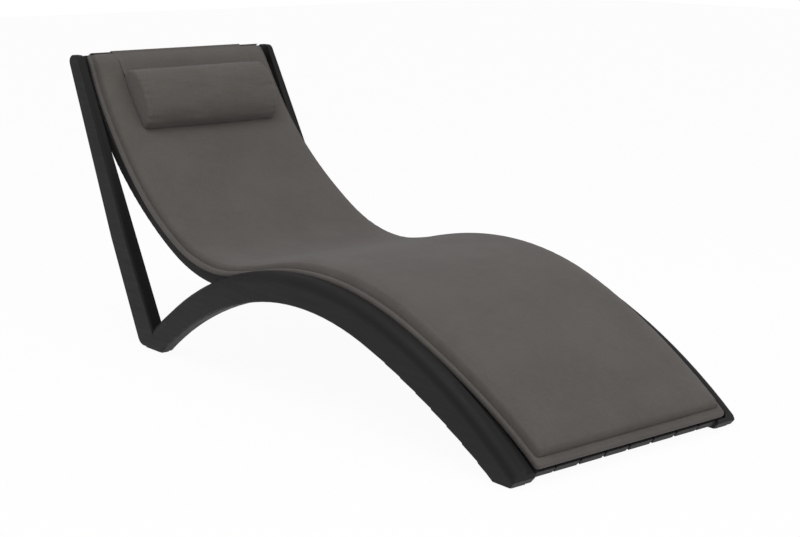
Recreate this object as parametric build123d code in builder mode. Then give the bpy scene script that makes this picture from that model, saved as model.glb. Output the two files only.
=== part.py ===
from build123d import *
import os
from math import acos, cos, degrees, radians, sin, sqrt

# Sun lounger with cushion. +X points to the foot end, +Z up, millimetres.
# The origin is on the floor, midway along the length and midway between the side frames.
# The arcs of the seat line and the lean of the legs make it 1791 long, and the shell,
# the ledges and the webs make it 664 wide.

# Side frames
ledge_inner_half_width = 275.0
ledge_reach = 23.0
web_thickness = 34.0
ridge_rise = 12.0
ridge_rounding = 26.0
edge_rounding = 5.0
ledge_rounding = 8.0
foot_lip_height = 38.0
nose_height = 16.0
nose_setback = 12.0
front_foot_flat = 56.0
arch_overlap = 80.0

# Legs: each leans back from the rear foot to the head end of the shell, and above
# leg_draw_height its outer face leans in
leg_top_height = 735.0
leg_foot_width = 94.3
leg_top_width = 61.7
leg_foot_setback = 10.0
leg_top_setback = 32.76
leg_top_draw = 17.0
leg_draw_height = 270.0
leg_root_height = 30.0
leg_top_rounding = 18.0
leg_heel_rounding = 30.0
leg_inner_rounding = 3.0

# Seat line: the slats' top face seen from the side, tangent arcs from foot to head. The
# slats reach slat_foot_reach past the place where the ridge of the arch starts.
seat_start_heading = 141.5
slat_foot_reach = 7.0
foot_arc_radius = 1393.0
foot_arc_turn = 17.8
crown_arc_radius = 869.0
crown_arc_turn = 34.4
waist_arc_radius = 1684.0
waist_arc_turn = 5.0
lumbar_arc_radius = 453.0
lumbar_arc_turn = 35.2
back_arc_radius = 1004.0
back_arc_turn = 36.7

# Top edge of the arch, tangent arcs from the foot end: it starts ridge_rise above the slats,
# comes closer to them at the crown, and runs down to the rear foot
ridge_front_radius = 1317.0
ridge_front_turn = 18.1
ridge_crown_radius = 1004.0
ridge_crown_turn = 54.0
ridge_tail_radius = 3970.0
ridge_tail_turn = 1.2

# Underside of the arch, tangent arcs from the front foot to the rear foot; the last one
# turns until it meets the floor
under_start_heading = 148.3
under_front_radius = 2000.0
under_front_turn = 12.4
under_crown_radius = 800.0
under_crown_turn = 37.2
under_rear_radius = 1170.0

# Slats
slat_count = 6
slat_gap = 6.0
shell_edge_gap = 7.0
outer_slat_width = 52.0
slat_thickness = 17.0
slat_edge_rounding = 2.5

# Rails under the back, one along each edge of the shell
rail_thickness = 15.0
rail_depth = 30.0
rail_start = 1047.0
rail_edge_rounding = 3.0

# Crossbars, housed at each end in a rail or a ledge
crossbar_width = 40.0
crossbar_depth = 10.0
crossbar_seat_gap = 0.6
crossbar_tenon = 8.0
tenon_clearance = 0.2
crossbar_places_from_foot = {"foot": 102.0, "crown": 527.0, "seat": 1007.0}
crossbar_places_from_head = {"lumbar": 603.4, "head": 133.4}

# Fasteners
screw_radius = 2.2
screw_head_radius = 4.0
screw_head_height = 3.0
screw_bite = 9.0
screw_clearance = 0.1
bolt_radius = 3.0
bolt_head_radius = 5.0
bolt_head_height = 4.0
bolt_clearance = 0.3
insert_radius = 4.5
insert_length = 14.0
insert_clearance = 0.1
spacer_radius = 9.0
bolt_places_from_rail_start = (25.0, 70.0)
bolt_places_from_head = (183.4, 38.4)

# Foot glides
glide_thickness = 3.0
glide_inset = 4.0
glide_stud_radius = 4.0
glide_stud_length = 12.0
glide_clearance = 0.1

# Cushion: heights are above the slats
cushion_overhang = 20.0
cushion_gap = 0.4
cushion_edge_height = 13.0
cushion_panel_height = 29.0
cushion_crown_height = 35.0
cushion_side_bulge = 5.0
side_border_width = 12.0
end_border_width = 24.0
channel_width = 6.0
cushion_head_draw = 14.0
cushion_foot_draw = 5.0
cushion_head_taper = 180.0
cushion_foot_taper = 60.0
cushion_foot_place = 3.0
foam_margin = 44.0
foam_end_margin = 48.0
foam_base_lift = 2.0
foam_edge_height = 19.0
foam_crown_height = 30.0
foam_clearance = 0.3

# Rounded ends of the cushion, one row a station: its place as a share of the border's width
# from the end, shares of the heights of the edge, the panel and the crown, and how far the
# sides turn in as a share of their bulge. The foot end has the channel sewn across it.
foot_cap_shares = (
    (0.0, 0.46, 0.21, 0.19, 1.0),
    (0.1, 0.77, 0.35, 0.31, 0.45),
    (0.35, 1.0, 0.46, 0.4, 0.1),
    (0.75, 1.0, 0.46, 0.4, 0.0),
    (1.0, 1.0, 0.37, 0.32, 0.0),
    (1.2, 1.0, 0.78, 0.71, 0.0),
    (1.4, 1.0, 0.94, 0.87, 0.0),
    (1.9, 1.0, 1.0, 1.0, 0.0),
)
head_cap_shares = (
    (0.0, 0.46, 0.3, 0.27, 1.0),
    (0.1, 0.62, 0.48, 0.42, 0.45),
    (0.35, 0.8, 0.63, 0.56, 0.1),
    (0.75, 0.92, 0.77, 0.7, 0.0),
    (1.25, 1.0, 0.9, 0.83, 0.0),
    (1.9, 1.0, 1.0, 1.0, 0.0),
)

# Further places of the rounded ends, as shares of each taper
head_taper_shares = (0.5, 0.75, 1.0)
foot_taper_shares = (1.0,)
channel_floor_share = 0.76

# Head pocket of the cushion
pocket_rail_gap = 3.5
pocket_fabric = 2.5
pocket_depth = 85.0
pocket_lip_height = 11.0

# Pillow, places measured down the back from the head end of the slats
pillow_half_width = 210.0
pillow_bottom_place = 258.0
pillow_top_place = 80.0
pillow_thickness = 70.0
pillow_gap = 0.4
pillow_cover_wall = 1.8
filling_wall_gap = 0.4

# Side view of the pillow: shares of its run from bottom to top, and of its thickness
pillow_lower_shares = ((0.0, 0.0), (0.0, 0.42), (0.15, 0.72))
pillow_front_shares = ((0.15, 0.72), (0.4, 0.95), (0.66, 1.0))
pillow_upper_shares = ((0.66, 1.0), (0.89, 0.82), (1.0, 0.32))
pillow_width_shares = (-1.0, -0.97, -0.9, -0.5, 0.0, 0.5, 0.9, 0.97, 1.0)
pillow_swell_shares = (0.8, 0.93, 1.0, 1.04, 1.05, 1.04, 1.0, 0.93, 0.8)

# Flap over the head end, and the counterweight that hangs from it
flap_inset = 3.0
flap_thickness = 3.0
flap_lift = 0.6
flap_joint_gap = 0.3
flap_front_end = 45.0
flap_knee_place = 12.0
flap_knee_height = 23.5
flap_brow_height = 13.0
flap_over_drop = 30.0
flap_rear_length = 150.0
pouch_inset = 5.0
pouch_height = 40.0
pouch_thickness = 14.0
pouch_wall = 2.0
pouch_rounding = 5.0
bar_clearance = 0.4

web_inner = ledge_inner_half_width + ledge_reach
half_width = web_inner + web_thickness
floor = glide_thickness
cushion_half_width = ledge_inner_half_width + cushion_overhang
pocket_half_width = ledge_inner_half_width - pocket_rail_gap
flap_half_width = pillow_half_width - flap_inset
pouch_half_width = flap_half_width - pouch_inset

os.makedirs("parts", exist_ok=True)


def lay_chain(start, heading, arcs):
    """Tangent arcs laid end to end in the XZ plane; a negative radius and turn bend the other way."""
    chain = []
    x, z = start
    travelled = 0.0
    for radius, turn in arcs:
        centre_x = x - radius * sin(radians(heading))
        centre_z = z + radius * cos(radians(heading))
        run = radius * radians(turn)
        chain.append((centre_x, centre_z, radius, heading, turn, travelled, travelled + run))
        travelled += run
        heading += turn
        x = centre_x + radius * sin(radians(heading))
        z = centre_z - radius * cos(radians(heading))
    return chain


def arc_at(chain, place):
    """The arc of a chain that holds a place along it, and the heading there."""
    for arc in chain:
        if place <= arc[6]:
            break
    return arc, arc[3] + arc[4] * (place - arc[5]) / (arc[6] - arc[5])


def point_at(chain, place, side):
    """A point of the chain, carried `side` towards the sitter."""
    arc, heading = arc_at(chain, place)
    reach = arc[2] + side
    return (arc[0] + reach * sin(radians(heading)), arc[1] - reach * cos(radians(heading)))


def arcs_between(chain, side, first, last):
    """Start, middle and end points of each arc between two places, carried `side` to the sitter."""
    pieces = []
    for arc in chain:
        low = max(first, arc[5])
        high = min(last, arc[6])
        if high > low:
            ends = [point_on(arc, place, side) for place in (low, (low + high) / 2, high)]
            pieces.append(ends)
    return pieces


def point_on(arc, place, side):
    """A point of one arc, by its place along the whole chain."""
    heading = arc[3] + arc[4] * (place - arc[5]) / (arc[6] - arc[5])
    reach = arc[2] + side
    return (arc[0] + reach * sin(radians(heading)), arc[1] - reach * cos(radians(heading)))


def heading_vector(heading):
    return (cos(radians(heading)), sin(radians(heading)))


def side_vector(heading):
    """Unit vector from the slats towards the sitter."""
    return (sin(radians(heading)), -cos(radians(heading)))


def seat_line(foot_end):
    """The seat line from a foot end at x, where it lies ridge_rise inside the ridge of the arch."""
    side = side_vector(seat_start_heading)
    ridge_foot = (foot_end - ridge_rise * side[0], foot_lip_height - ridge_rise * side[1])
    foot_arc = lay_chain(ridge_foot, seat_start_heading, [(foot_arc_radius, foot_arc_turn)])
    reach_turn = degrees(slat_foot_reach / foot_arc_radius)
    return lay_chain(
        point_at(foot_arc, -slat_foot_reach, 0.0),
        seat_start_heading - reach_turn,
        [
            (foot_arc_radius, foot_arc_turn + reach_turn),
            (crown_arc_radius, crown_arc_turn),
            (-waist_arc_radius, -waist_arc_turn),
            (-lumbar_arc_radius, -lumbar_arc_turn),
            (-back_arc_radius, -back_arc_turn),
        ],
    )


# Half the length: from the cushion's foot end, which reaches past the side frames, to the back
# of the legs, which stand behind the head end
unplaced_line = seat_line(0.0)
unplaced_head = point_at(unplaced_line, unplaced_line[-1][6], 0.0)
foot_overhang = max(
    point_at(unplaced_line, cushion_foot_place + end_border_width * place, cushion_crown_height * crown)[0]
    for place, edge, panel, crown, turn_in in foot_cap_shares
)
half_length = (foot_overhang + leg_top_setback - unplaced_head[0]) / 2
foot_end = half_length - foot_overhang

seat_chain = seat_line(foot_end)
seat_end = seat_chain[-1][6]
ridge_start = (foot_end, foot_lip_height)
ridge_chain = lay_chain(
    ridge_start,
    seat_start_heading,
    [
        (ridge_front_radius, ridge_front_turn),
        (ridge_crown_radius, ridge_crown_turn),
        (ridge_tail_radius, ridge_tail_turn),
    ],
)

# The last arc under the arch turns until it is back at the floor
under_start = (foot_end - nose_setback - front_foot_flat, floor)
under_arcs = [
    (under_front_radius, under_front_turn),
    (under_crown_radius, under_crown_turn),
]
under_lead = lay_chain(under_start, under_start_heading, under_arcs)
landing_heading = under_lead[-1][3] + under_lead[-1][4]
landing_x, landing_z = point_at(under_lead, under_lead[-1][6], 0.0)
landing_cosine = cos(radians(landing_heading)) + (landing_z - floor) / under_rear_radius
under_rear_turn = 360 - degrees(acos(landing_cosine)) - landing_heading
under_chain = lay_chain(under_start, under_start_heading, under_arcs + [(under_rear_radius, under_rear_turn)])

crossbar_places = dict(crossbar_places_from_foot)
for name, place in crossbar_places_from_head.items():
    crossbar_places[name] = seat_end - place
rail_bolt_places = [rail_start + place for place in bolt_places_from_rail_start]
rail_bolt_places += [seat_end - place for place in bolt_places_from_head]


def band_profile(y, low, high, first, last):
    """Strip of the seat line between two offsets and two places, on the plane at y."""
    with BuildSketch(Plane.XZ.offset(-y)) as profile:
        with BuildLine():
            for start, middle, end in arcs_between(seat_chain, high, first, last):
                ThreePointArc(start, middle, end)
            Line(point_at(seat_chain, last, high), point_at(seat_chain, last, low))
            for start, middle, end in arcs_between(seat_chain, low, first, last):
                ThreePointArc(start, middle, end)
            Line(point_at(seat_chain, first, low), point_at(seat_chain, first, high))
        make_face()
    return profile.sketch


def polygon_profile(y, points):
    """Closed polygon on the plane at y."""
    with BuildSketch(Plane.XZ.offset(-y)) as profile:
        with BuildLine():
            Polyline(*points, close=True)
        make_face()
    return profile.sketch


def station_plane(place, side):
    """Plane lying on the shell: local X along the seat line, local Z towards the sitter."""
    arc, heading = arc_at(seat_chain, place)
    x, z = point_at(seat_chain, place, side)
    along = heading_vector(heading)
    out = side_vector(heading)
    return Plane(origin=(x, 0, z), x_dir=(along[0], 0, along[1]), z_dir=(out[0], 0, out[1]))


def section_plane(place):
    """Plane square to the seat line: local X is +Y, local Y points to the sitter."""
    arc, heading = arc_at(seat_chain, place)
    x, z = point_at(seat_chain, place, 0.0)
    along = heading_vector(heading)
    return Plane(origin=(x, 0, z), x_dir=(0, 1, 0), z_dir=(-along[0], 0, -along[1]))


# Places across the shell
shell_half_width = ledge_inner_half_width - shell_edge_gap
slat_pitch = 2 * (shell_half_width - outer_slat_width) / slat_count
slat_width = slat_pitch - slat_gap
slat_centres = [(number - (slat_count - 1) / 2) * slat_pitch for number in range(slat_count)]
outer_slat_centre = shell_half_width - outer_slat_width / 2
board_centres = [-outer_slat_centre] + slat_centres + [outer_slat_centre]
rail_outer = ledge_inner_half_width + rail_thickness


def crossbar_pockets(first, last):
    """Housings for the crossbars whose places lie between two places."""
    return [place for place in crossbar_places.values() if first < place < last]


# Side frame: an arched beam with a ledge under the seat, and a leaning leg fused to its rear foot
arch_tail = point_at(ridge_chain, ridge_chain[-1][6], 0.0)
tail_heading = heading_vector(ridge_chain[-1][3] + ridge_chain[-1][4])
arch_hidden = (arch_tail[0] + arch_overlap * tail_heading[0], arch_tail[1] + arch_overlap * tail_heading[1])
under_end = point_at(under_chain, under_chain[-1][6], 0.0)


def arch_profile(y):
    """Outline of the arched beam on the plane at y."""
    with BuildSketch(Plane.XZ.offset(-y)) as profile:
        with BuildLine():
            for start, middle, end in arcs_between(ridge_chain, 0.0, 0.0, ridge_chain[-1][6]):
                ThreePointArc(start, middle, end)
            Polyline(
                arch_tail,
                arch_hidden,
                (arch_hidden[0], floor),
                under_end,
            )
            for start, middle, end in arcs_between(under_chain, 0.0, 0.0, under_chain[-1][6]):
                ThreePointArc(start, middle, end)
            Polyline(
                (foot_end - nose_setback - front_foot_flat, floor),
                (foot_end - nose_setback, floor),
                (foot_end, nose_height),
                ridge_start,
            )
        make_face()
    return profile.sketch


# The leg's rear edge starts leg_foot_width behind its front edge at floor level, and its
# rounded top corner just reaches the end of the length: this gives its lean
leg_front_floor = leg_foot_setback - under_end[0]
leg_rear_floor = leg_front_floor + leg_foot_width
lean_rise = leg_top_height - leg_top_rounding
lean_run = half_length - leg_top_rounding - leg_rear_floor
lean_square = lean_rise**2 - leg_top_rounding**2
lean_root = sqrt((lean_run * lean_rise) ** 2 - lean_square * (lean_run**2 - leg_top_rounding**2))
leg_rear_slope = (lean_run * lean_rise + lean_root) / lean_square
leg_top_rear = leg_rear_floor + leg_rear_slope * leg_top_height
leg_front_slope = (leg_top_rear - leg_top_width - leg_front_floor) / leg_top_height
leg_root = -leg_front_floor - leg_front_slope * leg_root_height
leg_outline = [
    (-leg_rear_floor - leg_rear_slope * floor, floor),
    (leg_root, floor),
    (leg_root, leg_root_height),
    (-leg_front_floor - leg_front_slope * leg_top_height, leg_top_height),
    (-leg_top_rear, leg_top_height),
]


def edges_near(edges, y, points):
    """The edge nearest to each point of the plane at y."""
    return ShapeList([edges.sort_by_distance(Vector(x, y, z))[0] for x, z in points])


def middles(chain):
    """The middle point of each arc of a chain."""
    return [middle for start, middle, end in arcs_between(chain, 0.0, 0.0, chain[-1][6])]


def crossbar_block(place, clearance):
    """A crossbar at its place, grown all round by a clearance."""
    with BuildPart() as block:
        with BuildSketch(station_plane(place, clearance - slat_thickness - crossbar_seat_gap)):
            Rectangle(
                crossbar_width + 2 * clearance,
                2 * (ledge_inner_half_width + crossbar_tenon + clearance),
            )
        extrude(amount=-crossbar_depth - 2 * clearance)
    return block.part


def bolt_points(places):
    """Bolt axes along the middle of a rail's depth, in the XZ plane."""
    return [point_at(seat_chain, place, -rail_depth / 2) for place in places]


def discs_on(y, points, radius):
    """Round profiles on the plane at y."""
    with BuildSketch(Plane.XZ.offset(-y)) as discs:
        with Locations(*points):
            Circle(radius)
    return discs.sketch


foot_glides = {
    "front": (
        foot_end - nose_setback - front_foot_flat / 2,
        front_foot_flat,
        ledge_inner_half_width,
        ledge_rounding,
    ),
    "rear": (
        (under_end[0] - leg_rear_floor + leg_heel_rounding / 2) / 2,
        under_end[0] + leg_rear_floor - leg_heel_rounding / 2,
        web_inner,
        leg_inner_rounding,
    ),
}


def glide_rectangle(name):
    """Centre and size of one foot's glide on the left side."""
    middle_x, foot_length, foot_inner, inner_rounding = foot_glides[name]
    inner = foot_inner + inner_rounding
    outer = half_width - edge_rounding
    centre = (middle_x, -(inner + outer) / 2)
    return centre, (foot_length - 2 * glide_inset, outer - inner - glide_inset)


# Side frame: an arched beam, a ledge under the seat and a leaning leg, in one piece
with BuildPart() as arch:
    extrude(arch_profile(-web_inner), amount=web_thickness)
    outer_face_edges = arch.faces().sort_by(Axis.Y)[0].edges()
    fillet(edges_near(outer_face_edges, -half_width, middles(ridge_chain)), ridge_rounding)
    outer_face_edges = arch.faces().sort_by(Axis.Y)[0].edges()
    fillet(edges_near(outer_face_edges, -half_width, middles(under_chain)), edge_rounding)

with BuildPart() as leg:
    with BuildSketch(Plane.XZ.offset(web_inner)) as leg_face:
        with BuildLine():
            Polyline(*leg_outline, close=True)
        make_face()
        fillet(leg_face.vertices().group_by(Axis.Y)[-1], leg_top_rounding)
        fillet(leg_face.vertices().group_by(Axis.Y)[0].sort_by(Axis.X)[0], leg_heel_rounding)
    extrude(amount=web_thickness)
    with BuildSketch(Plane.YZ.offset(-half_length)):
        with BuildLine():
            Polyline(
                (-half_width, leg_draw_height),
                (leg_top_draw - half_width, leg_top_height),
                (-half_width, leg_top_height),
                close=True,
            )
        make_face()
    extrude(amount=half_length, mode=Mode.SUBTRACT)
    outer_faces = leg.faces().sort_by(Axis.Y)[:2]
    shared_edge = leg.edges().filter_by(Axis.X).sort_by(lambda edge: abs(edge.center().Z - leg_draw_height))[0]
    outer_edges = [edge for edge in outer_faces.edges() if edge.center() != shared_edge.center()]
    fillet(outer_edges, edge_rounding)

# The ledge is the arch's outline below the seat line, as far forward of the rail's start
with BuildPart() as ledge:
    extrude(arch_profile(-ledge_inner_half_width), amount=web_inner - ledge_inner_half_width)
    extrude(
        band_profile(-ledge_inner_half_width, 0.0, 2 * ridge_rise, 0.0, seat_end),
        amount=web_inner - ledge_inner_half_width,
        mode=Mode.SUBTRACT,
    )
    extrude(
        polygon_profile(
            -ledge_inner_half_width,
            [
                point_at(seat_chain, rail_start, half_width),
                point_at(seat_chain, rail_start, -half_width),
                (-half_length, floor - half_width),
                (-half_length, leg_top_height),
            ],
        ),
        amount=web_inner - ledge_inner_half_width,
        mode=Mode.SUBTRACT,
    )
    inner_face_edges = ledge.faces().sort_by(Axis.Y)[-1].edges()
    fillet(edges_near(inner_face_edges, -ledge_inner_half_width, middles(under_chain)[:2]), ledge_rounding)

with BuildPart() as side_frame_left:
    add(arch.part)
    add(leg.part)
    add(ledge.part)
    for place in crossbar_pockets(0.0, rail_start):
        add(crossbar_block(place, tenon_clearance), mode=Mode.SUBTRACT)
    extrude(
        discs_on(-web_inner, bolt_points(rail_bolt_places), insert_radius + insert_clearance),
        amount=insert_length + insert_clearance,
        mode=Mode.SUBTRACT,
    )
    for name in foot_glides:
        centre, size = glide_rectangle(name)
        with BuildSketch(Plane.XY.offset(floor)):
            with Locations(centre):
                Circle(glide_stud_radius + glide_clearance)
        extrude(amount=glide_stud_length + glide_clearance, mode=Mode.SUBTRACT)

with BuildPart() as side_frame_right:
    mirror(side_frame_left.part, about=Plane.XZ)

pieces = {"side_frame_left": side_frame_left, "side_frame_right": side_frame_right}

# Rails: plain strips under the edges of the back, rounded on the outside
with BuildPart() as edge_rail_left:
    extrude(
        band_profile(-ledge_inner_half_width, -rail_depth, 0.0, rail_start, seat_end),
        amount=rail_thickness,
    )
    fillet(edge_rail_left.faces().sort_by(Axis.Y)[0].edges(), rail_edge_rounding)
    for place in crossbar_pockets(rail_start, seat_end):
        add(crossbar_block(place, tenon_clearance), mode=Mode.SUBTRACT)
    extrude(
        discs_on(-ledge_inner_half_width, bolt_points(rail_bolt_places), bolt_radius + bolt_clearance),
        amount=rail_thickness,
        mode=Mode.SUBTRACT,
    )
    extrude(
        discs_on(-ledge_inner_half_width, bolt_points(rail_bolt_places), bolt_head_radius + bolt_clearance),
        amount=bolt_head_height,
        mode=Mode.SUBTRACT,
    )

with BuildPart() as edge_rail_right:
    mirror(edge_rail_left.part, about=Plane.XZ)

pieces["edge_rail_left"] = edge_rail_left
pieces["edge_rail_right"] = edge_rail_right

# Spacers, threaded inserts and bolts hold each rail to its side frame, driven from the inside
with BuildPart() as rail_spacers:
    extrude(discs_on(-rail_outer, bolt_points(rail_bolt_places), spacer_radius), amount=web_inner - rail_outer)
    extrude(
        discs_on(-rail_outer, bolt_points(rail_bolt_places), bolt_radius + bolt_clearance),
        amount=web_inner - rail_outer,
        mode=Mode.SUBTRACT,
    )
    mirror(about=Plane.XZ)

with BuildPart() as threaded_inserts:
    extrude(discs_on(-web_inner, bolt_points(rail_bolt_places), insert_radius), amount=insert_length)
    extrude(
        discs_on(-web_inner, bolt_points(rail_bolt_places), bolt_radius + insert_clearance),
        amount=insert_length,
        mode=Mode.SUBTRACT,
    )
    mirror(about=Plane.XZ)

rail_bolt_start = ledge_inner_half_width + bolt_head_height
with BuildPart() as rail_bolts:
    extrude(
        discs_on(-ledge_inner_half_width, bolt_points(rail_bolt_places), bolt_head_radius),
        amount=bolt_head_height,
    )
    extrude(
        discs_on(-rail_bolt_start, bolt_points(rail_bolt_places), bolt_radius),
        amount=web_inner + insert_length - rail_bolt_start,
    )
    mirror(about=Plane.XZ)

pieces["rail_spacers"] = rail_spacers
pieces["threaded_inserts"] = threaded_inserts
pieces["rail_bolts"] = rail_bolts


def revolved_run(make_section, first, last):
    """A constant section carried along the seat line, arc by arc."""
    with BuildPart() as run:
        for centre_x, centre_z, radius, heading, turn, low, high in seat_chain:
            start = max(first, low)
            stop = min(last, high)
            if stop > start:
                axis = Axis((centre_x, 0, centre_z), (0, -1 if turn > 0 else 1, 0))
                sweep_turn = abs(turn) * (stop - start) / (high - low)
                revolve(make_section(start), axis=axis, revolution_arc=sweep_turn)
    return run.part


def screw_discs(place, side, radius, centres):
    """Round profiles at the screws of one crossbar, lying on the shell at an offset."""
    with BuildSketch(station_plane(place, side)) as discs:
        with Locations(*[(0, centre) for centre in centres]):
            Circle(radius)
    return discs.sketch


def board_section(centre, board):
    """Section maker for one slat: a rectangle with rounded corners."""

    def make_section(place):
        with BuildSketch(section_plane(place)) as section:
            with Locations((centre, -slat_thickness / 2)):
                RectangleRounded(board, slat_thickness, slat_edge_rounding)
        return section.sketch

    return make_section


# Slats run from foot to head; the outer two are narrower
crossbar_top = -slat_thickness - crossbar_seat_gap
crossbar_bottom = crossbar_top - crossbar_depth
board_widths = [outer_slat_width] + [slat_width] * slat_count + [outer_slat_width]
board_names = [f"slat_{number + 1}" for number in range(slat_count)]
board_names = ["slat_outer_left"] + board_names + ["slat_outer_right"]
for name, centre, board in zip(board_names, board_centres, board_widths):
    with BuildPart() as slat:
        add(revolved_run(board_section(centre, board), 0.0, seat_end))
        for place in crossbar_places.values():
            extrude(
                screw_discs(place, crossbar_top, screw_radius + screw_clearance, [-centre]),
                amount=crossbar_seat_gap + screw_bite + screw_clearance,
                mode=Mode.SUBTRACT,
            )
    pieces[name] = slat

# Crossbars carry the slats, with recesses for the screw heads underneath
for name, place in crossbar_places.items():
    with BuildPart() as crossbar:
        add(crossbar_block(place, 0.0))
        extrude(
            screw_discs(place, crossbar_bottom, screw_radius + screw_clearance, board_centres),
            amount=crossbar_depth,
            mode=Mode.SUBTRACT,
        )
        extrude(
            screw_discs(place, crossbar_bottom, screw_head_radius + screw_clearance, board_centres),
            amount=screw_head_height,
            mode=Mode.SUBTRACT,
        )
    pieces[f"crossbar_{name}"] = crossbar

with BuildPart() as slat_screws:
    for place in crossbar_places.values():
        extrude(screw_discs(place, crossbar_bottom, screw_head_radius, board_centres), amount=screw_head_height)
        extrude(
            screw_discs(place, crossbar_bottom + screw_head_height, screw_radius, board_centres),
            amount=crossbar_depth - screw_head_height + crossbar_seat_gap + screw_bite,
        )
pieces["slat_screws"] = slat_screws

# Glides under the feet, each with a stud pressed into the foot
for name in foot_glides:
    centre, size = glide_rectangle(name)
    with BuildPart() as glide:
        with BuildSketch(Plane.XY):
            with Locations(centre):
                Rectangle(*size)
        extrude(amount=glide_thickness)
        fillet(glide.edges().filter_by(Axis.Z), glide_thickness)
        with BuildSketch(Plane.XY.offset(floor)):
            with Locations(centre):
                Circle(glide_stud_radius)
        extrude(amount=glide_stud_length)
    with BuildPart() as glide_mirrored:
        mirror(glide.part, about=Plane.XZ)
    pieces[f"foot_glide_{name}_left"] = glide
    pieces[f"foot_glide_{name}_right"] = glide_mirrored


def cushion_section(place, half, edge, panel, crown):
    """The cushion cut square: flat base, bulged sides, a thin border, a sewn channel and a crowned panel."""
    base = cushion_gap
    side = half - cushion_side_bulge * edge / cushion_edge_height
    channel = half - side_border_width
    channel_floor = base + (edge - base) * channel_floor_share
    with BuildSketch(section_plane(place)) as section:
        with BuildLine():
            Line((-side, base), (side, base))
            ThreePointArc((side, base), (half, (base + edge) / 2), (side, edge))
            Line((side, edge), (channel + channel_width / 2, edge))
            Polyline(
                (channel + channel_width / 2, edge),
                (channel, channel_floor),
                (channel - channel_width / 2, panel),
            )
            ThreePointArc((channel - channel_width / 2, panel), (0, crown), (channel_width / 2 - channel, panel))
            Polyline(
                (channel_width / 2 - channel, panel),
                (-channel, channel_floor),
                (-channel - channel_width / 2, edge),
            )
            Line((-channel - channel_width / 2, edge), (-side, edge))
            ThreePointArc((-side, edge), (-half, (base + edge) / 2), (-side, base))
        make_face()
    return section.sketch


def full_section(place):
    return cushion_section(
        place, cushion_half_width, cushion_edge_height, cushion_panel_height, cushion_crown_height
    )


def cushion_cap(end_place, inward, cap_shares, taper, taper_shares, draw):
    """Rounded end of the cushion, drawn in towards its end."""

    def drawn_section(inset, turn_in, edge, panel, crown):
        half = cushion_half_width - draw * (1 - inset / taper) - turn_in
        return cushion_section(end_place + inward * inset, half, edge, panel, crown)

    sections = [
        drawn_section(
            end_border_width * place,
            cushion_side_bulge * turn_in,
            cushion_edge_height * edge,
            cushion_panel_height * panel,
            cushion_crown_height * crown,
        )
        for place, edge, panel, crown, turn_in in cap_shares
    ]
    for share in taper_shares:
        sections.append(
            drawn_section(taper * share, 0.0, cushion_edge_height, cushion_panel_height, cushion_crown_height)
        )
    with BuildPart() as cap:
        loft(sections, ruled=True)
    return cap.part


def foam_section(grow):
    """Section maker for the foam slab, grown all round."""

    def make_section(place):
        half = cushion_half_width - foam_margin + grow
        base = cushion_gap + foam_base_lift - grow
        with BuildSketch(section_plane(place)) as section:
            with BuildLine():
                Polyline(
                    (-half, foam_edge_height + grow),
                    (-half, base),
                    (half, base),
                    (half, foam_edge_height + grow),
                )
                ThreePointArc(
                    (half, foam_edge_height + grow),
                    (0, foam_crown_height + grow),
                    (-half, foam_edge_height + grow),
                )
            make_face()
        return section.sketch

    return make_section


with BuildPart() as cushion_cover:
    add(revolved_run(full_section, cushion_foot_place + cushion_foot_taper, seat_end - cushion_head_taper))
    add(
        cushion_cap(
            cushion_foot_place, 1, foot_cap_shares, cushion_foot_taper, foot_taper_shares, cushion_foot_draw
        )
    )
    add(cushion_cap(seat_end, -1, head_cap_shares, cushion_head_taper, head_taper_shares, cushion_head_draw))
    add(
        revolved_run(
            foam_section(foam_clearance),
            cushion_foot_place + foam_end_margin - foam_clearance,
            seat_end - foam_end_margin + foam_clearance,
        ),
        mode=Mode.SUBTRACT,
    )
pieces["cushion_cover"] = cushion_cover

with BuildPart() as cushion_foam:
    add(revolved_run(foam_section(0.0), cushion_foot_place + foam_end_margin, seat_end - foam_end_margin))
pieces["cushion_foam"] = cushion_foam

# Points of the head end: along the back past the slats' end, and towards the sitter
head_x, head_z = point_at(seat_chain, seat_end, 0.0)
head_along = heading_vector(seat_chain[-1][3] + seat_chain[-1][4])
head_side = side_vector(seat_chain[-1][3] + seat_chain[-1][4])


def head_point(along, side):
    return (
        head_x + along * head_along[0] + side * head_side[0],
        head_z + along * head_along[1] + side * head_side[1],
    )


# Pocket sewn to the cushion: over the slats' ends, down behind them, and closed at both sides
pocket_inner = -slat_thickness - cushion_gap
pocket_outer = pocket_inner - pocket_fabric
pocket_top = cushion_gap + pocket_fabric
pocket_inner_half_width = pocket_half_width - pocket_fabric
with BuildPart() as cushion_pocket:
    extrude(
        polygon_profile(
            pocket_half_width,
            [
                head_point(cushion_gap, pocket_lip_height),
                head_point(pocket_top, pocket_lip_height),
                head_point(pocket_top, pocket_outer),
                head_point(-pocket_depth, pocket_outer),
                head_point(-pocket_depth, 0.0),
                head_point(cushion_gap, 0.0),
            ],
        ),
        amount=2 * pocket_half_width,
    )
    extrude(
        polygon_profile(
            pocket_inner_half_width,
            [
                head_point(cushion_gap, pocket_lip_height),
                head_point(cushion_gap, pocket_inner),
                head_point(-pocket_depth, pocket_inner),
                head_point(-pocket_depth, pocket_lip_height),
            ],
        ),
        amount=2 * pocket_inner_half_width,
        mode=Mode.SUBTRACT,
    )
pieces["cushion_pocket"] = cushion_pocket

# Pillow: a D-shaped bolster whose base follows the cushion's crown
pillow_base = cushion_crown_height + pillow_gap


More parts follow.
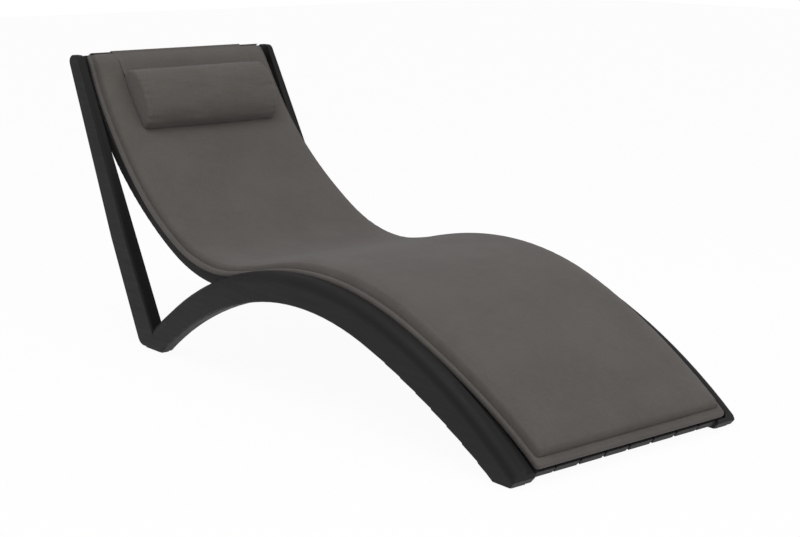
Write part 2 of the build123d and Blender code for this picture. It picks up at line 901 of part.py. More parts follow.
def pillow_section(y, swell, wall):
    """Side view of the pillow at y, drawn in all round by a wall."""
    run = pillow_bottom_place - pillow_top_place

    def place_of(shares):
        along = wall + shares[0] * (run - 2 * wall)
        lift = wall + shares[1] * (pillow_thickness * swell - 2 * wall)
        return point_at(seat_chain, seat_end - pillow_bottom_place + along, pillow_base + lift)

    first = seat_end - pillow_bottom_place + wall
    last = seat_end - pillow_top_place - wall
    with BuildSketch(Plane.XZ.offset(-y)) as section:
        with BuildLine():
            for shares in (pillow_lower_shares, pillow_front_shares, pillow_upper_shares):
                ThreePointArc(*[place_of(share) for share in shares])
            Line(place_of(pillow_upper_shares[-1]), point_at(seat_chain, last, pillow_base + wall))
            for start, middle, end in arcs_between(seat_chain, pillow_base + wall, first, last):
                ThreePointArc(start, middle, end)
        make_face()
    return section.sketch


def pillow_body(wall):
    with BuildPart() as body:
        loft(
            [
                pillow_section(share * (pillow_half_width - wall), swell, wall)
                for share, swell in zip(pillow_width_shares, pillow_swell_shares)
            ],
            ruled=True,
        )
    return body.part


with BuildPart() as pillow_cover:
    add(pillow_body(0.0))
    add(pillow_body(pillow_cover_wall), mode=Mode.SUBTRACT)
with BuildPart() as pillow_filling:
    add(pillow_body(pillow_cover_wall + filling_wall_gap))
pieces["pillow_cover"] = pillow_cover
pieces["pillow_filling"] = pillow_filling

# Flap: down the cushion to the pillow, over the head end, and straight down behind it
flap_base = cushion_crown_height + flap_lift
flap_foot = seat_end - flap_front_end
with BuildPart() as pillow_flap_front:
    extrude(
        band_profile(
            flap_half_width,
            flap_base,
            flap_base + flap_thickness,
            seat_end - pillow_top_place + flap_joint_gap,
            flap_foot - flap_joint_gap,
        ),
        amount=2 * flap_half_width,
    )
pieces["pillow_flap_front"] = pillow_flap_front

brow_along = pocket_top + cushion_gap
rear_x, rear_z = head_point(brow_along, pocket_outer - cushion_gap)
flap_rear_x = rear_x - flap_thickness
flap_drop_z = rear_z - flap_over_drop
outer_brow_along = brow_along + flap_thickness
outer_brow_side = (flap_rear_x - head_x - outer_brow_along * head_along[0]) / head_side[0]
with BuildPart() as flap_over_top:
    extrude(
        polygon_profile(
            flap_half_width,
            [
                point_at(seat_chain, flap_foot, flap_base),
                head_point(-flap_knee_place, flap_knee_height),
                head_point(brow_along, flap_brow_height),
                (rear_x, rear_z),
                (rear_x, flap_drop_z),
                (flap_rear_x, flap_drop_z),
                head_point(outer_brow_along, outer_brow_side),
                head_point(outer_brow_along, flap_brow_height + flap_thickness / 2),
                head_point(flap_thickness / 3 - flap_knee_place, flap_knee_height + flap_thickness),
                point_at(seat_chain, flap_foot, flap_base + flap_thickness),
            ],
        ),
        amount=2 * flap_half_width,
    )
pieces["flap_over_top"] = flap_over_top

flap_rear_top = flap_drop_z - flap_joint_gap
pouch_top = flap_rear_top - flap_rear_length - flap_joint_gap
pouch_centre = (flap_rear_x + pouch_thickness / 2, 0, pouch_top - pouch_height / 2)
with BuildPart() as flap_rear:
    extrude(
        polygon_profile(
            flap_half_width,
            [
                (flap_rear_x, flap_rear_top),
                (rear_x, flap_rear_top),
                (rear_x, flap_rear_top - flap_rear_length),
                (flap_rear_x, flap_rear_top - flap_rear_length),
            ],
        ),
        amount=2 * flap_half_width,
    )
pieces["flap_rear"] = flap_rear

bar_cavity = (
    pouch_thickness - 2 * pouch_wall,
    2 * (pouch_half_width - pouch_wall),
    pouch_height - 2 * pouch_wall,
)
with BuildPart() as weight_pouch:
    with Locations(pouch_centre):
        Box(pouch_thickness, 2 * pouch_half_width, pouch_height)
        fillet(weight_pouch.edges(), pouch_rounding)
        Box(*bar_cavity, mode=Mode.SUBTRACT)
with BuildPart() as weight_bar:
    with Locations(pouch_centre):
        Box(*[size - 2 * bar_clearance for size in bar_cavity])
pieces["weight_pouch"] = weight_pouch
pieces["weight_bar"] = weight_bar

for name, piece in pieces.items():
    piece.part.label = name
    export_step(piece.part, f"parts/{name}.step")

back_arc = seat_chain[-1]
print("pieces", len(pieces), "seat line", round(seat_end, 1), "ends", round(half_length, 3), round(foot_end, 3))
print("leg slopes", round(leg_front_slope, 4), round(leg_rear_slope, 4), "floor", leg_front_floor, leg_rear_floor)
print("under end", under_end, "turn", round(under_rear_turn, 3))
print("pillow hinge centre", round(back_arc[0], 3), round(back_arc[1], 3))
print("head end", round(head_x, 3), round(head_z, 3), "along", head_along)
print("flap", round(flap_rear_x, 2), round(flap_drop_z, 2), "pouch bottom", round(pouch_top - pouch_height, 2))
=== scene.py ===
import bpy
import bmesh
import numpy as np
from mathutils import Matrix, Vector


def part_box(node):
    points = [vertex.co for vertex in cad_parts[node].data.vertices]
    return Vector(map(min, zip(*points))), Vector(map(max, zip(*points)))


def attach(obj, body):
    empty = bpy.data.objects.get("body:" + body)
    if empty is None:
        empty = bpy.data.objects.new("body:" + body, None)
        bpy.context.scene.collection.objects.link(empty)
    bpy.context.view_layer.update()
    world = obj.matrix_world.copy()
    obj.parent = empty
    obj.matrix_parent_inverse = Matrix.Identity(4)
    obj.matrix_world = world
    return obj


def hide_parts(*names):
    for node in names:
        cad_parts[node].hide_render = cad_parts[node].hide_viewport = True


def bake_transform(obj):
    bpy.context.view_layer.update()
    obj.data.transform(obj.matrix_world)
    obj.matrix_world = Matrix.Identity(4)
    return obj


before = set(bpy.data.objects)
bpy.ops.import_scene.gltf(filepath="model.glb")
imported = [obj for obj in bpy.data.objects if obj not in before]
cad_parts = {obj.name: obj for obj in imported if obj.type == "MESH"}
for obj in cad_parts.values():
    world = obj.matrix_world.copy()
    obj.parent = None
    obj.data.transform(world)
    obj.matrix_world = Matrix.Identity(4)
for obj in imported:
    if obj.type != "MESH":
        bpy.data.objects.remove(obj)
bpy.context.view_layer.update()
foot_end = float(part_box("side_frame_left")[1][0])
rng = np.random.default_rng

# Camera at the photograph's viewing angle
camera_data = bpy.data.cameras.new("camera")
camera_data.sensor_fit = "HORIZONTAL"
camera_data.sensor_width = 36.0
camera_data.lens = 73.53
camera_data.clip_end = 60.0
camera = bpy.data.objects.new("camera", camera_data)
bpy.context.scene.collection.objects.link(camera)
camera.matrix_world = Matrix((
    (0.6305, -0.1632, 0.7588, 3.10639),
    (0.7762, 0.1326, -0.6164, -2.41493),
    (0.0, 0.9776, 0.2103, 1.09770),
    (0.0, 0.0, 0.0, 1.0),
))
bpy.context.scene.camera = camera
bpy.context.scene.view_settings.view_transform = "Standard"

# The line of the shell, seen from the side: it starts a ridge's rise inside the side frames'
# foot end, reaches a little past it, and runs to the head in tangent arcs of (radius, turn);
# negative ones bend the other way
start_heading = np.radians(141.5)
foot_lip_height = 0.038
ridge_rise = 0.012
foot_reach = 0.007
line_shape = ((1.393, 17.8), (0.869, 34.4), (-1.684, -5.0), (-0.453, -35.2), (-1.004, -36.7))
slat_thickness = 0.017
crown_height = 0.035


def lay_line():
    """Rows of centre x, centre z, radius, heading, turn, start and end, laid end to end."""
    ridge_radius = line_shape[0][0] + ridge_rise
    reach_turn = foot_reach / line_shape[0][0]
    heading, travelled = start_heading - reach_turn, 0.0
    x = foot_end - ridge_radius * np.sin(start_heading) + line_shape[0][0] * np.sin(heading)
    z = foot_lip_height + ridge_radius * np.cos(start_heading) - line_shape[0][0] * np.cos(heading)
    rows = []
    for number, (radius, degrees) in enumerate(line_shape):
        turn = np.radians(degrees) + (reach_turn if number == 0 else 0.0)
        centre_x, centre_z = x - radius * np.sin(heading), z + radius * np.cos(heading)
        run = radius * turn
        rows.append((centre_x, centre_z, radius, heading, turn, travelled, travelled + run))
        travelled += run
        heading += turn
        x, z = centre_x + radius * np.sin(heading), centre_z - radius * np.cos(heading)
    return np.array(rows), travelled, (x, z), heading


line_arcs, line_end, (head_x, head_z), head_heading = lay_line()
along_x, along_z = np.cos(head_heading), np.sin(head_heading)
side_x, side_z = np.sin(head_heading), -np.cos(head_heading)


def on_shell(place, height):
    """x and z of points at a place along the slats, carried a height towards the sitter."""
    which = np.clip(np.searchsorted(line_arcs[:, 6], place), 0, len(line_shape) - 1)
    arc = line_arcs[which]
    heading = arc[..., 3] + arc[..., 4] * (place - arc[..., 5]) / (arc[..., 6] - arc[..., 5])
    reach = arc[..., 2] + height
    return arc[..., 0] + reach * np.sin(heading), arc[..., 1] - reach * np.cos(heading)


def at_head(along, side):
    """x and z of points past the head end: along the back, and towards the sitter."""
    return head_x + along * along_x + side * side_x, head_z + along * along_z + side * side_z


def grid_faces(rows, columns, wrap=False):
    """Quads of a grid of rows by columns of points; wrap joins the last column to the first."""
    last = columns if wrap else columns - 1
    row, column = np.meshgrid(np.arange(rows - 1), np.arange(last), indexing="ij")
    following = (column + 1) % columns
    return np.stack([
        row * columns + column,
        row * columns + following,
        (row + 1) * columns + following,
        (row + 1) * columns + column,
    ], axis=-1).reshape(-1, 4)


def make_piece(name, points, faces, maps, seam=None, merge=2e-5):
    """Mesh object from arrays of points and faces, with a UV map in metres and seam distances."""
    mesh = bpy.data.meshes.new(name)
    mesh.from_pydata(points.reshape(-1, 3).tolist(), [], faces.tolist())
    layer = mesh.uv_layers.new(name="cloth")
    corner = np.zeros(len(mesh.loops), dtype=np.int32)
    mesh.loops.foreach_get("vertex_index", corner)
    layer.data.foreach_set("uv", maps.reshape(-1, 2)[corner].ravel())
    for label, values in (seam or {}).items():
        attribute = mesh.attributes.new(label, "FLOAT", "POINT")
        attribute.data.foreach_set("value", np.asarray(values, dtype=np.float32).ravel())
    if merge:
        work = bmesh.new()
        work.from_mesh(mesh)
        bmesh.ops.remove_doubles(work, verts=work.verts, dist=merge)
        bmesh.ops.dissolve_degenerate(work, edges=work.edges, dist=1e-6)
        bmesh.ops.recalc_face_normals(work, faces=work.faces)
        work.to_mesh(mesh)
        work.free()
    mesh.shade_smooth()
    piece = bpy.data.objects.new(name, mesh)
    bpy.context.scene.collection.objects.link(piece)
    return piece


def thicken(piece, thickness):
    """Gives a sheet its cloth's thickness, half on each side."""
    solid = piece.modifiers.new("cloth thickness", "SOLIDIFY")
    solid.thickness = thickness
    solid.offset = 0.0


def rounded(inset, radius):
    """Quarter-circle rise from 0 at a rim to 1 at a radius in from it."""
    return np.sqrt(np.clip(1 - (1 - np.clip(inset / radius, 0, 1)) ** 2, 0, 1))


def eased(value):
    """Smooth step from 0 to 1."""
    value = np.clip(value, 0, 1)
    return value * value * (3 - 2 * value)


def ripples(u, v, seed, finest=0.05, coarsest=0.5, count=24):
    """Sum of soft waves in many directions, about -1 to 1: the unevenness of filled cloth."""
    source = rng(seed)
    total = np.zeros(np.broadcast(u, v).shape)
    for wavelength in np.geomspace(finest, coarsest, count):
        angle, phase = source.uniform(0, 2 * np.pi, 2)
        wave = np.cos(angle) * u + np.sin(angle) * v
        strength = (wavelength / coarsest) ** 0.5
        total = total + np.sin(2 * np.pi * wave / wavelength + phase) * strength
    return total / 4


# Cushion: a thin border inside its rim, and a filled panel raised inside a seam. Each row is a
# place from the foot end and the half widths there, on the left and on the right. At the foot
# the left edge lies a little in, and past the webs of the side frames both edges widen.
pad_edges = np.array((
    (0.00, 0.2700, 0.2965), (0.06, 0.2740, 0.2965), (0.14, 0.2800, 0.2965),
    (0.25, 0.2880, 0.2965), (0.38, 0.2945, 0.2965), (0.50, 0.2965, 0.2965),
    (0.60, 0.2965, 0.2965), (0.76, 0.2965, 0.2965), (0.86, 0.2960, 0.2960),
    (0.96, 0.2950, 0.2950), (1.06, 0.2955, 0.2955), (1.16, 0.3000, 0.3000),
    (1.30, 0.3020, 0.3020), (1.50, 0.3000, 0.3000), (1.62, 0.2950, 0.2950),
    (1.76, 0.2890, 0.2890), (1.92, 0.2870, 0.2870), (2.03, 0.2810, 0.2810),
))
pad_places, pad_left, pad_right = pad_edges.T
pad_start = 0.003
pad_base = 0.0007
border, foot_border = 0.0120, 0.0220
border_height, border_belly = 0.0145, 0.0006
rim_radius, lower_rim_radius = 0.0040, 0.005
corner_radius, mitre_zone = 0.010, 0.010

# Panel: the share of its rise that its wall takes, the widths of the wall and of the slope
# behind it, and where it is thinner and fuller
wall_share, wall_width, slope_width = 0.60, 0.0090, 0.060
waist_place, waist_length, waist_thinning = 1.04, 0.18, 0.003
knee_place, knee_length, knee_filling = 0.54, 0.24, 0.007

# Seam of the cushion, the small folds behind it, of two lengths that drift against each other,
# and the slight unevenness of the panel, which starts a little way in from the seam
seam_depth, seam_width = 0.0036, 0.0021
pucker_height, pucker_place, pucker_width = 0.00030, 0.005, 0.006
pucker_pitch, long_pucker_pitch = 0.0135, 0.031
pucker_drift, pucker_drift_turn = 3, 41
swell_height, swell_start, swell_length = 0.0007, 0.02, 0.08

# Head end of the cushion: the share of its thickness at the very end and the length over which
# it fills; how much the flap presses it, over which length, and how the pressing fades sideways
end_share, end_length = 0.29, 0.052
flap_press, press_length = 0.10, 0.060
press_beside, press_fade = 0.006, 0.014
flap_half = 0.207

# Spacing of the points in from a rim: close over the rim and the two seams, then wider
near_rim = np.concatenate([
    np.array([0, 0.25, 0.6, 1.1, 1.8, 2.7, 3.8, 5.2, 7, 9]),
    np.arange(10, 17.3, 0.6),
    np.array([18, 19, 20]),
    np.arange(20.6, 27.0, 0.6),
    np.array([28, 30, 33, 37, 42, 49, 57, 66, 75]),
]) / 1000
fine_zone = near_rim[-1]


def pad_thinning(from_head, across):
    """Share of the full thickness left near the head end, where the flap presses the pad down."""
    share = end_share + (1 - end_share) * (1 - (1 - np.clip(from_head / end_length, 0, 1)) ** 2.2)
    under_flap = eased((flap_half + press_beside - np.abs(across)) / press_fade)
    pressed = flap_press * under_flap * eased((press_length - from_head) / press_length)
    return share - pressed


def bell(value, middle, width):
    """Bell curve: 1 at its middle, falling as the square of the distance in widths grows."""
    return np.exp(-(((value - middle) / width) ** 2))


def pad_top(side_inset, foot_inset, from_head, place, across):
    """Top of the cushion above the slats, and how far in from the rim each point counts.

    It is a flat border, a sewn groove, and then the filled panel, which rises by a wall and a
    gentler slope. Where side and foot border meet, the two insets blend over the mitre.
    """
    foot_inset = foot_inset - (foot_border - border)
    inner = np.minimum(side_inset, foot_inset)
    to_mitre = np.clip(mitre_zone - np.abs(side_inset - foot_inset), 0, None)
    inner = inner - to_mitre**2 / (4 * mitre_zone)
    past_seam = inner - border
    wall = 1 - (1 - np.clip(past_seam / wall_width, 0, 1)) ** 2.2
    slope = 1 - (1 - np.clip(past_seam / slope_width, 0, 1)) ** 2.8
    rise = wall_share * wall + (1 - wall_share) * slope
    panel_height = crown_height - waist_thinning * bell(place, waist_place, waist_length)
    panel_height = panel_height + knee_filling * bell(place, knee_place, knee_length)
    groove = seam_depth * bell(past_seam, 0.0, seam_width)
    run = np.where(side_inset < foot_inset, place, across)
    drift = pucker_drift * np.sin(run * pucker_drift_turn)
    short_folds = np.sin(2 * np.pi * run / pucker_pitch + drift)
    long_folds = np.sin(2 * np.pi * run / long_pucker_pitch)
    pucker = pucker_height * bell(past_seam, pucker_place, pucker_width)
    pucker = pucker * (short_folds + long_folds)
    belly = border_belly * np.sin(np.pi * np.clip(inner / border, 0, 1))
    away = eased((past_seam - swell_start) / swell_length)
    swell = swell_height * ripples(place, across, 5) * away
    top = border_height + belly + (panel_height - border_height) * rise - groove + pucker + swell
    return top * pad_thinning(from_head, across), inner


def smooth_width(widths, place):
    """Half width at a place: a broken line through the given ones, averaged over 80 mm."""
    window = np.linspace(-0.04, 0.04, 17)
    return np.interp(place[..., None] + window, pad_places, widths).mean(axis=-1)


def make_cushion():
    """The long pad: a closed loop of points across, over the top and back below, at each place.

    The loops shrink to a line at both ends, which closes them on their rims.
    """
    length = line_end - pad_start
    middle = np.linspace(fine_zone, length - fine_zone, 165)[1:-1]
    stations = np.concatenate([near_rim, middle, length - near_rim[::-1]])
    from_foot = stations[:, None]
    from_head = length - from_foot
    place = pad_start + from_foot
    end_inset = np.minimum(from_foot, from_head)
    left, right = smooth_width(pad_left, place), smooth_width(pad_right, place)
    half, drift = (left + right) / 2, (right - left) / 2
    in_corner = np.clip(end_inset, 0, corner_radius)
    half = half - corner_radius + np.sqrt(corner_radius**2 - (corner_radius - in_corner) ** 2)
    spread = np.linspace(0, 1, 22)[1:]
    inset = np.concatenate([near_rim + 0 * half, fine_zone + spread * (half - fine_zone)], axis=1)
    across = np.concatenate([-half + inset, (half - inset)[:, -2::-1]], axis=1)
    side_inset = np.concatenate([inset, inset[:, -2::-1]], axis=1)
    top, inner = pad_top(side_inset, from_foot, from_head, place, across)
    rim = pad_base + (border_height * pad_thinning(from_head, across) - pad_base) * 0.5
    upper = rim + (top - rim) * rounded(side_inset, rim_radius) * rounded(end_inset, rim_radius)
    tucked = rounded(side_inset, lower_rim_radius) * rounded(end_inset, lower_rim_radius)
    lower = rim - (rim - pad_base) * tucked
    count = across.shape[1]
    loop_across = np.concatenate([across, across[:, -2:0:-1]], axis=1)
    loop_height = np.concatenate([upper, lower[:, -2:0:-1]], axis=1)
    loop_inner = np.concatenate([inner, 0 * inner[:, -2:0:-1]], axis=1)
    loop_place = place + 0 * loop_across
    x, z = on_shell(loop_place, loop_height)
    points = np.stack([x, loop_across + drift, z], axis=-1)
    under = np.concatenate([np.zeros(count), np.ones(count - 2)]) + 0 * loop_across
    underside_shift = 1.3
    maps = np.stack([loop_across + under * underside_shift, loop_place], axis=-1)
    run = np.where(np.abs(loop_across) < half - from_foot, loop_across, loop_place)
    return make_piece(
        "cushion_pad", points, grid_faces(points.shape[0], points.shape[1], wrap=True), maps,
        {"seam_gap": loop_inner - border, "seam_run": run},
    )


# Pocket behind the head end of the cushion
pocket_half = 0.27025
pocket_depth = 0.0850
pocket_back = -slat_thickness - 0.00165
pocket_lip = 0.0090
pocket_side_top = -0.0008
pocket_past_end = 0.0017
pocket_bend = 0.004
pocket_hem = 0.006
pocket_cloth = 0.0016
pocket_sag = 0.0008


def make_pocket():
    """Cloth folded from one rectangle: a lip over the cushion's end, a back and two sides."""
    radius = pocket_bend
    turn = np.linspace(0, np.pi / 2, 7)[1:]
    wall = np.linspace(0, 1, 7)[1:]

    def folded(reach, lift):
        """Straight run, quarter turn, then a wall: place along, height above the back, flat run."""
        bend = reach - radius
        straight = np.linspace(0, bend, 30)
        rise = (lift - radius) * wall
        out = np.concatenate([straight, bend + radius * np.sin(turn), np.full(wall.size, reach)])
        up = np.concatenate([0 * straight, radius * (1 - np.cos(turn)), radius + rise])
        flat = np.concatenate([straight, bend + radius * turn, bend + radius * np.pi / 2 + rise])
        return out, up, flat

    out_side, up_side, run_side = folded(pocket_half, pocket_side_top - pocket_back)
    out_end, up_end, run_end = folded(pocket_depth + pocket_past_end, pocket_lip - pocket_back)
    y = np.concatenate([-out_side[:0:-1], out_side])
    up_y = np.concatenate([up_side[:0:-1], up_side])
    run_y = np.concatenate([-run_side[:0:-1], run_side])
    height = np.maximum(up_y[None, :], up_end[:, None])
    uneven = np.abs(ripples(run_y[None, :], run_end[:, None], 9, finest=0.06, coarsest=0.3))
    sag = pocket_sag * uneven
    sag = sag * np.clip(1 - height / radius, 0, 1)
    x, z = at_head((out_end - pocket_depth)[:, None] + 0 * height, pocket_back + height - sag)
    points = np.stack([x, y[None, :] + 0 * height, z], axis=-1)
    maps = np.stack([run_y[None, :] + 0 * height, run_end[:, None] + 0 * height], axis=-1)
    faces = grid_faces(*height.shape)
    walls = (up_y[None, :] > radius * 0.999) & (up_end[:, None] > radius * 0.999)
    edge = np.minimum(run_y.max() - np.abs(run_y)[None, :], run_end[:, None]) + 0 * height
    seam = {"seam_gap": edge - pocket_hem, "seam_run": run_y[None, :] + run_end[:, None]}
    sewn = walls.ravel()[faces].all(axis=1)
    piece = make_piece("cushion_pocket_cloth", points, faces[~sewn], maps, seam)
    thicken(piece, pocket_cloth)
    return piece


# Pillow: a D section from its lower to its upper edge, in shares of its run and its thickness
pillow_half = 0.210
pillow_low = 0.258
pillow_high = 0.080
pillow_thickness = 0.071
pillow_clearance = 0.0008
pillow_base = crown_height + pillow_clearance
pillow_centre_share = 0.44
pillow_section = (
    (0.02, 0.0), (0.0, 0.12), (0.015, 0.42), (0.12, 0.72), (0.28, 0.90),
    (0.48, 0.99), (0.66, 0.985), (0.83, 0.85), (0.95, 0.60), (1.0, 0.30),
    (0.985, 0.06), (0.93, 0.0), (0.7, 0.0), (0.45, 0.0), (0.2, 0.0),
)
pillow_seam_inset = 0.004
pillow_dome = 0.0045
pillow_hem = 0.0045

# Fullness of the pillow along its width, as a scale of its section: least at the seams of its
# ends, risen over a length in from them, and most in the middle
seam_fullness, fullness_rise, fullness_length, middle_fullness = 0.975, 0.030, 0.030, 0.015

# Seams of the pillow's ends: their groove, the raised lips beside it, the folds that run over
# them, and how high above the cushion the cloth is free to move
pillow_groove, pillow_groove_width = 0.0018, 0.0016
pillow_lip, pillow_lip_width = 0.0008, 0.003
pillow_fold, pillow_fold_reach = 0.0009, 0.020
pillow_fold_pitch, pillow_long_fold_pitch = 0.021, 0.037
pillow_free_height = 0.012
pillow_wave, pillow_small_wave = 0.0011, 0.0006


def run_along(curve):
    """Length travelled from a curve's first point to each of its points."""
    steps = np.linalg.norm(np.diff(curve, axis=0), axis=1)
    return np.concatenate([[0], np.cumsum(steps)])


def points_at(curve, length, places):
    """Points of a curve at the given lengths along it."""
    return np.stack([np.interp(places, length, axis) for axis in curve.T], axis=-1)


def smooth_loop(corners, count):
    """Closed Catmull-Rom curve through corner points, evenly re-spaced, and its run."""
    corners = np.asarray(corners, dtype=float)
    t = np.linspace(0, 1, 24, endpoint=False)[None, :, None]
    a, b, c, d = (np.roll(corners, shift, 0)[:, None, :] for shift in (1, 0, -1, -2))
    square, cube = 2 * a - 5 * b + 4 * c - d, 3 * b - a - 3 * c + d
    curve = 0.5 * (2 * b + (c - a) * t + square * t**2 + cube * t**3)
    curve = curve.reshape(-1, corners.shape[1])
    closed = np.concatenate([curve, curve[:1]])
    length = run_along(closed)
    even = np.linspace(0, length[-1], count, endpoint=False)
    return points_at(closed, length, even), even


def make_pillow():
    """Bolster with a D section that rests on the cushion, and domed end panels inside a seam.

    The section is a closed curve, carried along the width and scaled about its centre. It is
    fullest in the middle, drawn in at the seams, and shrinks to a point over the domed ends.
    Folds that fade away from the seams, and broader waves, move the cloth in and out.
    """
    run = pillow_low - pillow_high
    sizes = np.array([run, pillow_thickness])
    loop, girth = smooth_loop(np.array(pillow_section) * sizes, 148)
    along, height = loop[:, 0], np.clip(loop[:, 1], 0, None)
    centre_along, centre_height = 0.5 * run, pillow_centre_share * pillow_thickness
    seam_at = pillow_half - pillow_seam_inset
    near_seam = np.array([0, 0.8, 1.8, 3, 4.5, 7, 10, 14, 20, 28]) / 1000
    tube = np.concatenate([near_seam, np.linspace(0.036, seam_at, 26)])
    tube = np.concatenate([-seam_at + tube, (seam_at - tube)[-2::-1]])
    from_seam = seam_at - np.abs(tube)
    risen = fullness_rise * rounded(from_seam, fullness_length)
    swell = seam_fullness + risen + middle_fullness * np.cos(np.pi * tube / (2 * seam_at))
    cap = np.array([0.0, 0.4, 1.0, 1.8, 2.8, 4.5, 7, 11, 16, 22, 29, 36]) / 1000
    shrink = 1 - cap / cap[-1]
    dome = pillow_dome * np.sqrt(np.clip(1 - shrink**2, 0, 1))
    y = np.concatenate([(-seam_at - dome)[:0:-1], tube, (seam_at + dome)[1:]])
    scale = np.concatenate([(swell[0] * shrink)[:0:-1], swell, (swell[-1] * shrink)[1:]])
    edge = np.concatenate([-cap[:0:-1], from_seam, -cap[1:]])
    groove = pillow_groove * bell(edge, 0.0, pillow_groove_width)
    groove = groove - pillow_lip * bell(edge, pillow_hem, pillow_lip_width)
    fold = np.sin(2 * np.pi * girth / pillow_fold_pitch + 2.2 * np.sin(girth * 33))
    fold = fold + 0.7 * np.sin(2 * np.pi * girth / pillow_long_fold_pitch + 1)
    fading = np.exp(-((np.abs(edge) / pillow_fold_reach) ** 1.4))
    pucker = pillow_fold * fading[:, None] * fold[None, :]
    reach = np.hypot(along - centre_along, height - centre_height)
    free = np.clip(height / pillow_free_height, 0, 1)[None, :]
    broad = ripples(girth[None, :], y[:, None], 21, finest=0.045, coarsest=0.30)
    small = ripples(girth[None, :] * 2.5, y[:, None], 22, finest=0.03, coarsest=0.16)
    wave = pillow_wave * broad + pillow_small_wave * small
    uneven = (wave - groove[:, None] - pucker) * free / reach[None, :]
    pull = scale[:, None] + uneven * np.clip(scale, 0, 1)[:, None]
    lengthways = centre_along + (along - centre_along)[None, :] * pull
    upwards = np.maximum(centre_height + (height - centre_height)[None, :] * pull, 0.0)
    x, z = on_shell(line_end - pillow_low + lengthways, pillow_base + upwards)
    points = np.stack([x, y[:, None] + 0 * x, z], axis=-1)
    shift = np.cumsum(np.concatenate([[0], np.hypot(np.diff(y), np.diff(scale) * cap[-1])]))
    maps = np.stack([shift[:, None] + 0 * x, girth[None, :] + 0 * x], axis=-1)
    seam = {"seam_gap": edge[:, None] - pillow_hem + 0 * x, "seam_run": girth[None, :] + 0 * x}
    return make_piece("headrest_pillow", points, grid_faces(*x.shape, wrap=True), maps, seam)


# Flap over the head end: its hanging part and the pouch below take their place from the frame
rear_low, rear_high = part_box("flap_rear")
rear_face_x = float(rear_low[0])
flap_bottom, flap_split = float(rear_low[2]), float(rear_high[2])
flap_cloth = 0.0022
flap_hem = 0.008
flap_spacing = 0.0022
flap_off_face = 0.0015
flap_below = 0.001
flap_sag = 0.0005
flap_edge_shares = np.array([0.95, 0.975, 0.99, 0.996, 1])
flap_middle_shares = np.linspace(-0.92, 0.92, 47)
flap_shares = np.concatenate([-flap_edge_shares[::-1], flap_middle_shares, flap_edge_shares])


def smooth_run(corners, spacing):
    """Open curve with its corners cut round, evenly re-spaced."""
    curve = np.asarray(corners, dtype=float)
    for _ in range(4):
        quarter = 0.75 * curve[:-1] + 0.25 * curve[1:]
        three_quarter = 0.25 * curve[:-1] + 0.75 * curve[1:]
        inner = np.stack([quarter, three_quarter], axis=1).reshape(-1, curve.shape[1])
        curve = np.concatenate([curve[:1], inner, curve[-1:]])
    length = run_along(curve)
    even = np.linspace(0, length[-1], int(length[-1] / spacing) + 2)
    return points_at(curve, length, even), even


def make_flap():
    """Band of cloth from the pillow's top over the head end, and the part that hangs behind.

    Each is a run of points in side view, spread over the flap's width and a little uneven.
    """
    back = np.array([90, 84, 77, 68, 58, 48, 38, 28, 18, 9, 3]) / 1000
    lift = 0.0016 + np.array([0.0090, 0.0060, 0.0030, 0.0012, 0.0005] + [0.0] * 6)
    over = crown_height * pad_thinning(back, 0.0) + lift
    front_x, front_z = on_shell(line_end - back, over)
    over_end = np.array([(0.0036, 0.0112), (0.0050, 0.0060), (0.0052, -0.0020), (0.0052, -0.0140)])
    end_x, end_z = at_head(*over_end.T)
    drop_z = flap_split + np.array([0.0235, 0.0120, 0.0])
    drop_x = rear_face_x + np.array([0.0022, flap_off_face, flap_off_face])
    corners_x = np.concatenate([front_x, end_x, drop_x])
    corners_z = np.concatenate([front_z, end_z, drop_z])
    path, run = smooth_run(np.stack([corners_x, corners_z], axis=-1), flap_spacing)
    y = flap_shares[None, :] * flap_half

    def sheet(name, x, z, run_down):
        """One part of the band, from its points in side view and their run down the cloth."""
        hang = flap_sag * ripples(y, run_down[:, None], 33, finest=0.09, coarsest=0.5)
        x = x[:, None] + hang
        points = np.stack([x, y + 0 * x, z[:, None] + 0 * x], axis=-1)
        maps = np.stack([y + 0 * x, run_down[:, None] + 0 * x], axis=-1)
        gap = flap_half - np.abs(y) + 0 * x - flap_hem
        seam = {"seam_gap": gap, "seam_run": run_down[:, None] + 0 * x}
        piece = make_piece(name, points, grid_faces(*x.shape), maps, seam, merge=0)
        thicken(piece, flap_cloth)
        return piece

    front = sheet("headrest_flap", path[:, 0], path[:, 1], run)
    rear_z = np.linspace(flap_split, flap_bottom - flap_below, 60)
    rear_x = np.full(rear_z.shape, rear_face_x + flap_off_face)
    rear = sheet("headrest_flap_rear", rear_x, rear_z, run[-1] + flap_split - rear_z)
    return front, rear, float(run[-1])


# Pouch: how far it hangs off the rear face, its half depth, and the shape of its section and ends
pouch_off_face = 0.0070
pouch_depth = 0.0068
pouch_hem = 0.0045
pouch_depth_power, pouch_height_power = 0.75, 0.62
pouch_end_length, pouch_corner_length = 0.010, 0.006
pouch_end_share, pouch_rise_share = 0.80, 0.20
pouch_unevenness = 0.05


